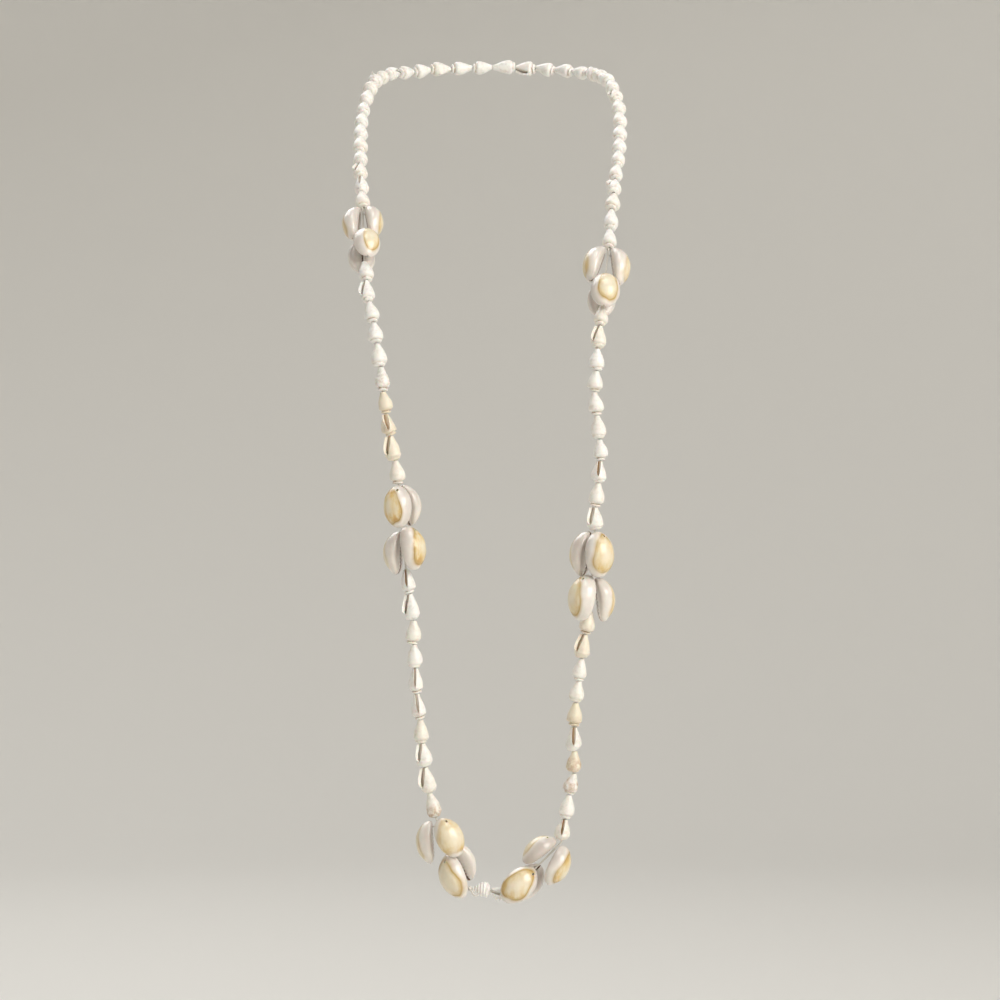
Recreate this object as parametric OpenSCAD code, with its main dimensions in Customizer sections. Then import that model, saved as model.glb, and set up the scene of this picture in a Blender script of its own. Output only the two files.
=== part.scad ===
/* [Ring cowries] */
// Length of a ring cowrie, end to end
cowrie_len = 22; // [18:0.5:25]
// Width of a ring cowrie across its flat face
cowrie_wide = 14.6; // [12:0.2:17]
// Height of a ring cowrie, flat face to top of back
cowrie_high = 9; // [7.5:0.5:12]
// Width of the slit along the flat face
slit_wide = 1.8; // [1:0.1:2.4]
// Depth of that slit
slit_deep = 1.6; // [0.8:0.1:2.2]
// Diameter of the hole drilled through each tip
tie_bore = 1.6; // [1.4:0.1:2]
// Distance of that hole from the tip
tie_inset = 2.8; // [2.4:0.1:3.6]

/* [Small shells] */
// Length of a small shell, tip to base
shell_len = 11.8; // [9:0.2:14]
// Width of a small shell at its fullest
shell_wide = 8; // [6:0.2:9]
// Diameter of the hole that the thread takes through a small shell
shell_bore = 1.8; // [1.5:0.1:2.2]
// Width of the mouth slit in a small shell
mouth_wide = 1; // [0.6:0.1:1.4]
// Thickness of the lip beside that slit
lip_thick = 1; // [0.7:0.1:1.3]
// Share by which the small shells differ in size
size_swing = 0.07; // [0:0.01:0.12]

/* [Thread] */
// Diameter of the main thread
thread_dia = 1; // [0.7:0.1:1.2]
// Diameter of the thread ties in the cowries' tips
tie_dia = 0.8; // [0.6:0.1:1]
// Diameter of the knot that closes the loop
knot_dia = 2.6; // [2:0.1:3.2]
// Length of the free tail at the knot
tail_len = 6; // [4:0.5:12]

/* [Fit] */
// Gap between neighbours on the thread
bead_gap = 0.3; // [0.2:0.05:0.6]
// Clearance where shells lie in beside each other
nest_gap = 0.5; // [0.3:0.05:0.8]
// Clearance of a tie beside the main thread
tie_gap = 0.2; // [0.15:0.05:0.4]

/* [Hidden] */
// Points that the strand runs through, from the nape down its left side and up its right side
route = [
  [0, 4, 0], [-22, 1, -1], [-41, -9, -4], [-55, -26, -8], [-62, -46, -14],
  [-66, -64, -24], [-68, -82, -38], [-68, -108, -59], [-66, -131, -80],
  [-65, -143, -92], [-63, -168, -120],
  [-60, -181, -142], [-55, -188, -168], [-52, -190, -192], [-48, -190, -215],
  [-45, -190, -233], [-42, -190, -269],
  [-39, -189, -290], [-38, -189, -312], [-36, -188, -338], [-33, -188, -363], [-30, -187, -383],
  [-27.5, -187, -392.5], [-12, -186, -428],
  [-3, -186, -428],
  [9, -186, -430], [33, -186, -406],
  [36, -187, -390], [40, -187, -370], [40, -188, -345], [43, -188, -320], [46, -189, -300],
  [48, -190, -291], [50, -190, -254],
  [51, -190, -236], [53, -190, -212], [50, -189, -189], [52, -187, -162],
  [54, -179, -143], [58, -158, -113],
  [60, -144, -93], [62, -131, -78], [65, -108, -58], [66, -86, -39], [65, -70, -26],
  [61, -50, -14], [54, -26, -8], [41, -9, -4], [22, 1, -1]
];

// Clusters of four cowries, an upper pair and a lower pair crosswise to it.
// Columns: route points at the cluster's upper and lower ends, its upper pair, its lower pair.
// Each shell has its own columns: the way that its back faces, 0 for the front and 90 for the
// right; its lean, the angle out from the thread; its drop, as a share of its length, below the
// highest place that it can take; and its size.
clusters = [
  [9, 10, [[-98, 7, 0, 0.94], [92, 6, 0, 0.93]], [[22, 7, 0, 0.93], [200, 7, 0.05, 0.93]]],
  [15, 16, [[-15, 6, 0, 0.95], [132, 7, 0, 0.93]], [[-105, 6, 0.16, 0.96], [52, 8, 0, 1]]],
  [22, 23, [[-92, 20, 0, 0.96], [22, 6, 0, 0.94]], [[-46, 6, 0, 1.03], [150, 8, 0, 0.98]]],
  [26, 25, [[-70, 9, 0.03, 0.88], [58, 21, 0, 0.94]], [[-4, 8, 0, 1], [152, 8, 0.08, 1]]],
  [33, 32, [[-115, 5, 0, 1.03], [28, 8, 0, 1.03]], [[-45, 9, 0, 1.05], [100, 9, 0.08, 1]]],
  [39, 38, [[-92, 11, 0, 1], [88, 11, 0, 1]], [[6, 8, 0, 1], [184, 7, 0, 0.96]]]
];
function top_point(c) = route[c[0]];
function low_point(c) = route[c[1]];
function shells(c) = concat(c[2], c[3]);
function way(shell) = shell[0];
function lean(shell) = shell[1];
function drop(shell) = shell[2];
function size(shell) = shell[3];

// Sections of a cowrie from its tip to its lower end.
// Columns: place as a share of the length, half width as a share of the width,
// flat face and back as shares of the height.
cowrie_rows = [
  [0.00, 0.06, 0.10, 0.27],
  [0.03, 0.18, 0.03, 0.42],
  [0.09, 0.30, 0.00, 0.60],
  [0.19, 0.41, 0.00, 0.80],
  [0.31, 0.48, 0.00, 0.94],
  [0.45, 0.50, 0.00, 1.00],
  [0.58, 0.49, 0.00, 0.98],
  [0.70, 0.445, 0.00, 0.89],
  [0.81, 0.365, 0.01, 0.74],
  [0.90, 0.26, 0.05, 0.57],
  [0.97, 0.145, 0.13, 0.44],
  [1.00, 0.05, 0.22, 0.34]
];

// Outline of one section of a cowrie, right half, from the slit round to the back.
// Columns: share of the half width, share of the height.
cowrie_round = [
  [0.42, 0.02], [0.74, 0.05], [0.93, 0.14], [1.00, 0.30],
  [0.94, 0.54], [0.74, 0.78], [0.40, 0.95]
];

// Outline of a small shell from its base to its tip.
// Columns: place as a share of the length, half width as a share of the width.
shell_rows = [
  [0.00, 0.23], [0.03, 0.31], [0.08, 0.33], [0.13, 0.29], [0.15, 0.29],
  [0.19, 0.39], [0.27, 0.47], [0.36, 0.50], [0.46, 0.485], [0.60, 0.41],
  [0.75, 0.31], [0.90, 0.22], [1.00, 0.17]
];

// Outline of the lip beside a small shell's mouth, in the same shares.
lip_rows = [
  [0.34, 0.20], [0.38, 0.47], [0.48, 0.55], [0.64, 0.53], [0.80, 0.40], [0.90, 0.26], [0.92, 0.16]
];

// Ways that a small shell's mouth faces: a to the front, l to the left, r to the right, b behind
mouth_ways = [["a", 0], ["l", -80], ["r", 75], ["b", 175]];

// Stretches of small shells, each from its lower end up, with tips upward.
// Columns: lower end, upper end, route points between, size of its shells, mouths in order.
stretches = [
  ["1 top", "left nape", [8:-1:1], 1, "balbbbbbbblbabbrbbl"],
  ["2 top", "1 low", [14:-1:11], 1, "blabbbbblb"],
  ["3 top", "2 low", [21:-1:17], 1.06, "bllbaabbla"],
  ["4 low", "knot", [24:-1:24], 0.6, "ab"],
  ["4 top", "5 low", [27:1:31], 0.93, "abbbabbblb"],
  ["5 top", "6 low", [34:1:37], 0.93, "lbabbbbblb"],
  ["6 top", "right nape", [40:1:48], 1, "bbblbbbbbblbbarbbbl"]
];
function lower_end(s) = s[0];
function upper_end(s) = s[1];
function between(s) = [for (i = s[2]) route[i]];
function stretch_size(s) = s[3];
function mouths(s) = s[4];
left_stretches = [0, 1, 2, 3];
right_stretches = [4, 5, 6];

facets = 32;
thread_sides = 6;
curve_steps = 6;
pair_letters = ["a", "b", "c", "d"];

function cowrie_name(c, s) = str("cowrie_", c + 1, pair_letters[s]);

// Vectors and frames
function unit(v) = v / norm(v);
function turn_between(a, b) = acos(min(1, unit(a) * unit(b)));
// The front of a bead, square to its axis
front_line = [0, -1, 0];
function front_of(w) = unit(front_line - (front_line * w) * w);
// Frame of a link: z up its axis, -y to the front, x to the right
function link_frame(from, to) =
  let (w = unit(to - from), b = -front_of(w), r = cross(b, w))
  [[r.x, b.x, w.x, from.x], [r.y, b.y, w.y, from.y], [r.z, b.z, w.z, from.z], [0, 0, 0, 1]];

// How far a shell stands off the thread: clear of it, and clear of its partner where the two
// face apart by less than half a turn
edge_round = 0.87;
function fold(pair) =
  let (turn = abs(way(pair[1]) - way(pair[0])))
  min(turn, 360 - turn);
function standoff(shell, pair) =
  max(concat(
    [thread_dia / 2 + nest_gap / 2],
    [for (row = cowrie_rows)
      (edge_round * size(shell) * cowrie_wide * row[1] + nest_gap) / tan(fold(pair) / 2)
        - size(shell) * cowrie_len * row[0] * sin(lean(shell)) - size(shell) * cowrie_high * row[2]]
  ));
standoffs = [for (c = clusters) concat(
  [for (shell = c[2]) standoff(shell, c[2])],
  [for (shell = c[3]) standoff(shell, c[3])]
)];

// Outline that holds any section of a cowrie, right half.
// Columns: share of the half width, share of the height.
section_hull = [[0.8, 0], [1, 0.2], [1, 0.5], [0.78, 0.84], [0.3, 1]];
half_column = [for (row = cowrie_rows) [row[0], row[1]]];
face_column = [for (row = cowrie_rows) [row[0], row[2]]];
back_column = [for (row = cowrie_rows) [row[0], row[3]]];
// That outline about the thread, at a depth along the thread below the shell's tip
function section_at(shell, off, depth) =
  let (
    k = size(shell),
    out_line = [sin(way(shell)), -cos(way(shell))],
    side_line = [cos(way(shell)), sin(way(shell))]
  )
  [for (q = section_hull, side = [-1, 1])
    let (
      first = depth / cos(lean(shell)) / (k * cowrie_len),
      rise = k * cowrie_high * q[1] * lookup(first, back_column),
      at = first + rise * tan(lean(shell)) / (k * cowrie_len),
      face = lookup(at, face_column),
      out = k * cowrie_high * (face + q[1] * (lookup(at, back_column) - face))
    )
    side * q[0] * k * cowrie_wide * lookup(at, half_column) * side_line
      + (off + at * k * cowrie_len * sin(lean(shell)) + out * cos(lean(shell))) * out_line];

// Gap between two outlines about the thread, and between one and a round bead on the thread
compass = [for (turn = [0 : 20 : 340]) [cos(turn), sin(turn)]];
function apart(a, b) = max([for (n = compass) min([for (q = b) q * n]) - max([for (q = a) q * n])]);
function apart_round(r, b) = max([for (n = compass) min([for (q = b) q * n])]) - r;

// What follows a cluster on the thread, as its half width at a depth below its end: the tip or
// the base of a small shell, or the knot
knot_room = knot_dia + bead_gap;
function tip_reach(d) =
  shell_wide * max(lookup(1 - d / shell_len, shell_rows), lookup(1 - d / shell_len, lip_rows));
function base_reach(d) = shell_wide * lookup(d / (stretch_size(stretches[3]) * shell_len), shell_rows);
function reach_after(i, d) =
  i == 2 ? (d < knot_room ? knot_dia / 2 : cowrie_wide)
  : i == 3 ? base_reach(d)
  : tip_reach(d);

// Places along each cluster, measured down from its upper end. A piece that follows lies in
// between the ends of the pair above it as far as its sections stay clear of theirs.
nest_steps = 10;
nest_levels = 4;
nest_most = 0.3;
tip_gap = bead_gap + 0.3;
function reach_down(shell) = size(shell) * cowrie_len * cos(lean(shell));
function upper_tips(c) = [for (shell = c[2]) tip_gap + drop(shell) * cowrie_len];
function pair_end(pair, tips) = max([for (s = [0, 1]) tips[s] + reach_down(pair[s])]);
function in_reach(shell, depth) = depth > 0 && depth < reach_down(shell);
function deepest(free) = max([for (j = [0 : nest_steps]) free[j] ? j : 0]) / nest_steps;
function lower_tip(i, s) =
  let (
    c = clusters[i], shell = c[3][s], tips = upper_tips(c), end = pair_end(c[2], tips),
    most = nest_most * cowrie_len,
    free = [for (j = [0 : nest_steps])
      let (nest = most * j / nest_steps)
      min([for (u = [0, 1], m = [0 : nest_levels])
        let (d = nest * m / nest_levels, above = end - nest + d - tips[u])
        in_reach(c[2][u], above)
          ? apart(section_at(shell, standoffs[i][2 + s], d), section_at(c[2][u], standoffs[i][u], above))
          : nest_gap]) >= nest_gap]
  )
  end - most * deepest(free) + drop(shell) * cowrie_len;
tip_places = [for (i = [0 : len(clusters) - 1])
  concat(upper_tips(clusters[i]), [lower_tip(i, 0), lower_tip(i, 1)])];
function link_length(i) =
  let (
    pair = clusters[i][3], tips = [tip_places[i][2], tip_places[i][3]], end = pair_end(pair, tips),
    most = nest_most * cowrie_len,
    free = [for (j = [0 : nest_steps])
      let (nest = most * j / nest_steps)
      min([for (u = [0, 1], m = [0 : nest_levels])
        let (d = nest * m / nest_levels, above = end - nest + d - tips[u])
        in_reach(pair[u], above)
          ? apart_round(reach_after(i, d), section_at(pair[u], standoffs[i][2 + u], above))
          : nest_gap]) >= nest_gap]
  )
  end - most * deepest(free);
cluster_lens = [for (i = [0 : len(clusters) - 1]) link_length(i)];

// Ends of each cluster's straight link, about the middle of its place on the route
function middle(i) = (top_point(clusters[i]) + low_point(clusters[i])) / 2;
function upward(i) = unit(top_point(clusters[i]) - low_point(clusters[i]));
function top_end(i) = middle(i) + upward(i) * cluster_lens[i] / 2;
function low_end(i) = middle(i) - upward(i) * cluster_lens[i] / 2;

// Named ends of the stretches, each with the next point of the thread beyond it
knot_cluster = 2;
knot_point = let (low = low_end(knot_cluster)) low + unit(route[24] - low) * knot_room;
ends = concat(
  [["left nape", route[0], route[len(route) - 1]], ["right nape", route[0], route[1]]],
  [["knot", knot_point, low_end(knot_cluster)]],
  [for (i = [0 : len(clusters) - 1]) [str(i + 1, " top"), top_end(i), low_end(i)]],
  [for (i = [0 : len(clusters) - 1]) [str(i + 1, " low"), low_end(i), top_end(i)]]
);
function end_row(name) = ends[search([name], ends)[0]];
function end_point(name) = end_row(name)[1];
function beyond(name) = end_row(name)[2];

// A smooth curve through the points of one stretch
function bend_point(a, b, c, d, t) =
  0.5 * (2 * b + (c - a) * t + (2 * a - 5 * b + 4 * c - d) * t * t + (3 * b - a - 3 * c + d) * t * t * t);
function smooth(p) =
  let (n = len(p) - 1)
  concat(
    [for (i = [0 : n - 1], s = [0 : curve_steps - 1])
      bend_point(p[max(i - 1, 0)], p[i], p[i + 1], p[min(i + 2, n)], s / curve_steps)],
    [p[n]]
  );
function run_lengths(p) =
  [for (i = 0, s = 0; i < len(p); s = s + (i + 1 < len(p) ? norm(p[i + 1] - p[i]) : 0), i = i + 1) s];
function along(p, run, s) =
  [for (axis = [0 : 2]) lookup(s, [for (i = [0 : len(p) - 1]) [run[i], p[i][axis]]])];

// Points between the small shells of one stretch, from its lower end up
function weight(i) = 1 + size_swing * sin(97 * i + 20);
function sums(n) = [for (i = 0, s = 0; i <= n; s = s + weight(i), i = i + 1) s];
function stretch_points(s) =
  let (
    p = smooth(concat([end_point(lower_end(s))], between(s), [end_point(upper_end(s))])),
    run = run_lengths(p),
    total = run[len(run) - 1],
    n = max(1, round(total / (stretch_size(s) * shell_len + bead_gap))),
    part = sums(n)
  )
  [for (i = [0 : n]) along(p, run, total * part[i] / part[n])];
stretch_lists = [for (s = stretches) stretch_points(s)];

// Room that a bead leaves at its end, so that it stays clear where the thread turns
function end_room(turn, half) = bead_gap / 2 + half * tan(turn / 2);

// One ring cowrie: tip at the origin, length down the z axis, flat face to +y and back to -y
function slit_depth(at) = slit_deep * min(1, 7 * at, 7 * (1 - at));
function section_points(row, k) =
  let (
    half = k * cowrie_wide * row[1],
    face = k * cowrie_high * row[2],
    rise = k * cowrie_high * (row[3] - row[2]),
    lip = min(slit_wide / 2, 0.3 * half),
    z = -k * cowrie_len * row[0]
  )
  concat(
    [[0, -face - min(slit_depth(row[0]), 0.3 * rise), z], [lip, -face, z]],
    [for (q = cowrie_round) [half * q[0], -face - rise * q[1], z]],
    [[0, -face - rise, z]],
    [for (i = [len(cowrie_round) - 1 : -1 : 0])
      [-half * cowrie_round[i][0], -face - rise * cowrie_round[i][1], z]],
    [[-lip, -face, z]]
  );
module cowrie_shell(k) {
  rings = [for (row = cowrie_rows) section_points(row, k)];
  n = len(rings[0]);
  last = len(rings) - 1;
  sides = [for (j = [0 : last - 1], i = [0 : n - 1])
    let (a = j * n + i, b = j * n + (i + 1) % n)
    each [[a, b, a + n], [b, b + n, a + n]]];
  tip_face = [for (i = [1 : n - 2]) [0, i + 1, i]];
  low_face = [for (i = [1 : n - 2]) [last * n, last * n + i, last * n + i + 1]];
  polyhedron(points = [for (ring = rings) each ring], faces = concat(sides, tip_face, low_face));
}

// Holes in a tip stand beside the main thread; a tie's knot lies a little inside its hole
tie_recess = 1.2;
function tie_side() = (thread_dia + tie_dia) / 2 + tie_gap;
module tie_hole(k) {
  translate([tie_side(), 0, -tie_inset])
    rotate([90, 0, 0])
      cylinder(d = tie_bore, h = 3 * k * cowrie_high, center = true, $fn = facets);
}

// Places a child as one shell of a cluster
module in_cluster(i, s) {
  shell = shells(clusters[i])[s];
  multmatrix(link_frame(low_end(i), top_end(i)))
    translate([0, 0, cluster_lens[i] - tip_places[i][s]])
      rotate([0, 0, way(shell)])
        translate([0, -standoffs[i][s], 0])
          rotate([-lean(shell), 0, 0])
            children();
}

module cowrie(i, s) {
  k = size(shells(clusters[i])[s]);
  color("#e9dccb")
    in_cluster(i, s)
      difference() {
        cowrie_shell(k);
        tie_hole(k);
      }
}

// One tie: a thread pin from beside the main thread into the tip's hole, with its knot inside
module tie(i, s) {
  k = size(shells(clusters[i])[s]);
  off = standoffs[i][s];
  pin_end = k * cowrie_high * lookup(tie_inset / (k * cowrie_len), back_column) - tie_recess;
  in_cluster(i, s)
    translate([tie_side(), off, -tie_inset])
      rotate([90, 0, 0]) {
        cylinder(d = tie_dia, h = off + pin_end, $fn = facets);
        translate([0, 0, off + pin_end])
          sphere(d = tie_bore - 2 * tie_gap, $fn = facets);
      }
}

module ties() {
  color("white")
    for (i = [0 : len(clusters) - 1], s = [0 : 3])
      tie(i, s);
}

// One small shell: base at the origin, tip up the z axis, mouth to -y
module small_shell(length, wide) {
  difference() {
    union() {
      rotate_extrude($fn = facets)
        polygon(concat(
          [[shell_bore / 2, 0]],
          [for (row = shell_rows) [wide * row[1], length * row[0]]],
          [[shell_bore / 2, length]]
        ));
      difference() {
        translate([-mouth_wide / 2, 0, 0])
          rotate([90, 0, -90])
            linear_extrude(lip_thick)
              polygon([for (row = lip_rows) [wide * row[1], length * row[0]]]);
        cylinder(d = shell_bore, h = 2 * length, center = true, $fn = facets);
      }
    }
    translate([-mouth_wide / 2, -wide, 0.4 * length])
      cube([mouth_wide, wide - shell_bore / 4, 0.46 * length]);
  }
}

// Small shells of one stretch, each straight between two points of the thread
module shell_stretch(s) {
  p = stretch_lists[s];
  row = stretches[s];
  n = len(p) - 1;
  whole = concat([beyond(lower_end(row))], p, [beyond(upper_end(row))]);
  for (i = [0 : n - 1]) {
    wide = shell_wide * (weight(3 * i + s) + 1) / 2;
    low_turn = turn_between(whole[i + 1] - whole[i], p[i + 1] - p[i]);
    high_turn = turn_between(p[i + 1] - p[i], whole[i + 3] - whole[i + 2]);
    low_room = end_room(low_turn, wide * shell_rows[2][1]);
    high_room = end_room(high_turn, wide * shell_rows[12][1]);
    look = mouths(row)[i % len(mouths(row))];
    multmatrix(link_frame(p[i], p[i + 1]))
      translate([0, 0, low_room])
        rotate([0, 0, mouth_ways[search(look, mouth_ways)[0]][1]])
          small_shell(norm(p[i + 1] - p[i]) - low_room - high_room, wide);
  }
}

module small_shells_left() {
  color("#f3efe6")
    for (s = left_stretches)
      shell_stretch(s);
}

module small_shells_right() {
  color("#f3efe6")
    for (s = right_stretches)
      shell_stretch(s);
}

// The main thread, one closed tube through every point between the beads
function reversed(p) = [for (i = [len(p) - 1 : -1 : 0]) p[i]];
thread_points = concat(
  reversed(stretch_lists[0]), reversed(stretch_lists[1]), reversed(stretch_lists[2]),
  [low_end(knot_cluster)], reversed(stretch_lists[3]),
  stretch_lists[4], stretch_lists[5],
  [for (i = [0 : len(stretch_lists[6]) - 2]) stretch_lists[6][i]]
);
module thread() {
  n = len(thread_points);
  rings = [for (i = [0 : n - 1])
    let (
      p = thread_points[i],
      w = unit(unit(p - thread_points[(i + n - 1) % n]) + unit(thread_points[(i + 1) % n] - p)),
      u = front_of(w),
      v = cross(w, u)
    )
    [for (k = [0 : thread_sides - 1])
      let (turn = 360 * k / thread_sides)
      p + thread_dia / 2 * (cos(turn) * u + sin(turn) * v)]];
  m = thread_sides;
  faces = [for (i = [0 : n - 1], k = [0 : m - 1])
    let (a = i * m + k, b = i * m + (k + 1) % m, c = ((i + 1) % n) * m + k, d = ((i + 1) % n) * m + (k + 1) % m)
    each [[a, c, b], [b, c, d]]];
  color("white")
    polyhedron(points = [for (ring = rings) each ring], faces = faces);
}

// The knot sits on the thread below a cluster, with its cut tail hanging from it
tail_turn = [38, 145, 0];
tail_bend = 60;
tail_root = 0.4 * knot_dia;
module tail() {
  bend_at = 0.6 * tail_len + knot_dia / 2 - tail_root;
  rotate(tail_turn)
    translate([0, 0, tail_root]) {
      cylinder(d = thread_dia, h = bend_at, $fn = facets);
      translate([0, 0, bend_at]) {
        sphere(d = 1.2 * thread_dia, $fn = facets);
        rotate([0, -tail_bend, 0])
          cylinder(d = thread_dia, h = 0.4 * tail_len, $fn = facets);
      }
    }
}
module knot() {
  low = low_end(knot_cluster);
  color("white") {
    difference() {
      translate((low + knot_point) / 2)
        sphere(d = knot_dia, $fn = facets);
      multmatrix(link_frame(low, knot_point))
        cylinder(d = thread_dia + 2 * tie_gap, h = 3 * knot_dia, center = true, $fn = facets);
    }
    translate((low + knot_point) / 2)
      tail();
  }
}

for (i = [0 : len(clusters) - 1], s = [0 : 3])
  cowrie(i, s);
small_shells_left();
small_shells_right();
thread();
knot();
ties();
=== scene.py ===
import bpy
import bmesh
import random
from math import cos, degrees, exp, hypot, pi, radians, sin, sqrt, tan
from mathutils import Matrix, Vector, noise


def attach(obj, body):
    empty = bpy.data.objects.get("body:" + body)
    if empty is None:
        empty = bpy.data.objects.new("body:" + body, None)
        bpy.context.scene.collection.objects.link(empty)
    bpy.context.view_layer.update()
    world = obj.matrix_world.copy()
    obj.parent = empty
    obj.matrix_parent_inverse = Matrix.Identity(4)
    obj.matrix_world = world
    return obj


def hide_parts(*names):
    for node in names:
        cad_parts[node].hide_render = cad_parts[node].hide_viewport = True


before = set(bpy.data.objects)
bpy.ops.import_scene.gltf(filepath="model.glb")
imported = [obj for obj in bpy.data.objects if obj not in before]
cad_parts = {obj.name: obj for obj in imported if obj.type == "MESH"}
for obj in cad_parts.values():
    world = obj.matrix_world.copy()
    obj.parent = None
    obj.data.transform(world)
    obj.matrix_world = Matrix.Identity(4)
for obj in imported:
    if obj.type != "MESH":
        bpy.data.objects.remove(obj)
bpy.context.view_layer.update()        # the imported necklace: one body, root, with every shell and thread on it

scene = bpy.context.scene
mm = 0.001
body = "root"


# small helpers

def fromHex(code):
    # sRGB hex to the linear colour that Blender wants
    parts = [int(code[i:i + 2], 16) / 255 for i in (1, 3, 5)]
    return tuple(c / 12.92 if c <= 0.04045 else ((c + 0.055) / 1.055) ** 2.4 for c in parts) + (1,)


def blendStep(low, high, value):
    share = min(1, max(0, (value - low) / (high - low)))
    return share * share * (3 - 2 * share)


def easedRow(rows, place, column):
    # a smooth curve through one column of a table whose first column is the place
    last = len(rows) - 1
    place = min(rows[last][0], max(rows[0][0], place))
    i = 0
    while i < last - 1 and place > rows[i + 1][0]:
        i += 1

    def slope(k):
        a, b = rows[max(k - 1, 0)], rows[min(k + 1, last)]
        return (b[column] - a[column]) / (b[0] - a[0])

    start, end = rows[i], rows[i + 1]
    step = end[0] - start[0]
    t = (place - start[0]) / step
    return ((2 * t ** 3 - 3 * t ** 2 + 1) * start[column]
            + (t ** 3 - 2 * t ** 2 + t) * step * slope(i)
            + (3 * t ** 2 - 2 * t ** 3) * end[column] + (t ** 3 - t ** 2) * step * slope(i + 1))


def makeMesh(name, points, faces, marks, scale=mm):
    # points in mm; marks are the numbers that a material reads at each point
    mesh = bpy.data.meshes.new(name)
    mesh.from_pydata([tuple(c * scale for c in p) for p in points], [], faces)
    for mark, values in marks.items():
        layer = mesh.attributes.new(mark, "FLOAT", "POINT")
        layer.data.foreach_set("value", values)
    mesh.validate()
    mesh.polygons.foreach_set("use_smooth", [True] * len(mesh.polygons))
    mesh.update()
    return mesh


def closedSides(rings, perRing, start=0):
    # quads between rings of points that follow each other in one list
    return [(start + a * perRing + k, start + a * perRing + (k + 1) % perRing,
             start + (a + 1) * perRing + (k + 1) % perRing, start + (a + 1) * perRing + k)
            for a in range(rings - 1) for k in range(perRing)]


def newObject(name, data):
    thing = bpy.data.objects.new(name, data)
    scene.collection.objects.link(thing)
    return thing


def placePiece(piece, material, slot, *nodes):
    piece.data.materials.clear()
    piece.data.materials.append(material)
    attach(piece, body)
    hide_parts(*nodes)


def addPart(points, faces, part):
    # puts a part's points and faces behind those that a piece already has
    start = len(points)
    points += part[0]
    faces += [tuple(start + k for k in face) for face in part[1]]


def turnOutward(mesh, weld=0):
    # turns the faces outward; points nearer than weld are joined first
    form = bmesh.new()
    form.from_mesh(mesh)
    if weld:
        bmesh.ops.remove_doubles(form, verts=form.verts, dist=weld)
        bmesh.ops.dissolve_degenerate(form, edges=form.edges, dist=weld / 2)
    bmesh.ops.recalc_face_normals(form, faces=form.faces)
    form.to_mesh(mesh)
    form.free()


# camera, at the photograph's place

view = dict(place=(0.004, -1.680, -0.238), lens=110.2, sensor=36, farthest=30)

cameraData = bpy.data.cameras.new("photoCamera")
cameraData.lens = view["lens"]
cameraData.sensor_width = view["sensor"]
cameraData.clip_end = view["farthest"]
camera = newObject("photoCamera", cameraData)
camera.location = view["place"]
camera.rotation_euler = (radians(90), 0, 0)  # level, looking straight at the front
bpy.context.scene.camera = camera
# the plain view keeps whites and ochres as they are, where the filmic one greys them
scene.view_settings.view_transform = "Standard"
print("camera set")


# the thread's way, in mm, as the CAD has it

fit = dict(cowrieLength=22, cowrieWidth=14.6, cowrieHeight=9, smallLength=11.8, smallWidth=8,
           beadGap=0.3, threadWidth=1, tieWidth=0.8, tieInset=2.8, tieGap=0.2, knotWidth=2.6,
           # small shells swing in size by a share, and by some degrees from shell to shell
           sizeSwing=0.07, swingTurn=97, swingStart=20, curveSteps=6)

route = [Vector(p) for p in (
    (0, 4, 0), (-22, 1, -1), (-41, -9, -4), (-55, -26, -8), (-62, -46, -14),
    (-66, -64, -24), (-68, -82, -38), (-68, -108, -59), (-66, -131, -80),
    (-65, -143, -92), (-63, -168, -120),
    (-60, -181, -142), (-55, -188, -168), (-52, -190, -192), (-48, -190, -215),
    (-45, -190, -233), (-42, -190, -269),
    (-39, -189, -290), (-38, -189, -312), (-36, -188, -338), (-33, -188, -363), (-30, -187, -383),
    (-27.5, -187, -392.5), (-12, -186, -428),
    (-3, -186, -428),
    (9, -186, -430), (33, -186, -406),
    (36, -187, -390), (40, -187, -370), (40, -188, -345), (43, -188, -320), (46, -189, -300),
    (48, -190, -291), (50, -190, -254),
    (51, -190, -236), (53, -190, -212), (50, -189, -189), (52, -187, -162),
    (54, -179, -143), (58, -158, -113),
    (60, -144, -93), (62, -131, -78), (65, -108, -58), (66, -86, -39), (65, -70, -26),
    (61, -50, -14), (54, -26, -8), (41, -9, -4), (22, 1, -1))]
bottom = 24  # the route's point below the knot

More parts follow.
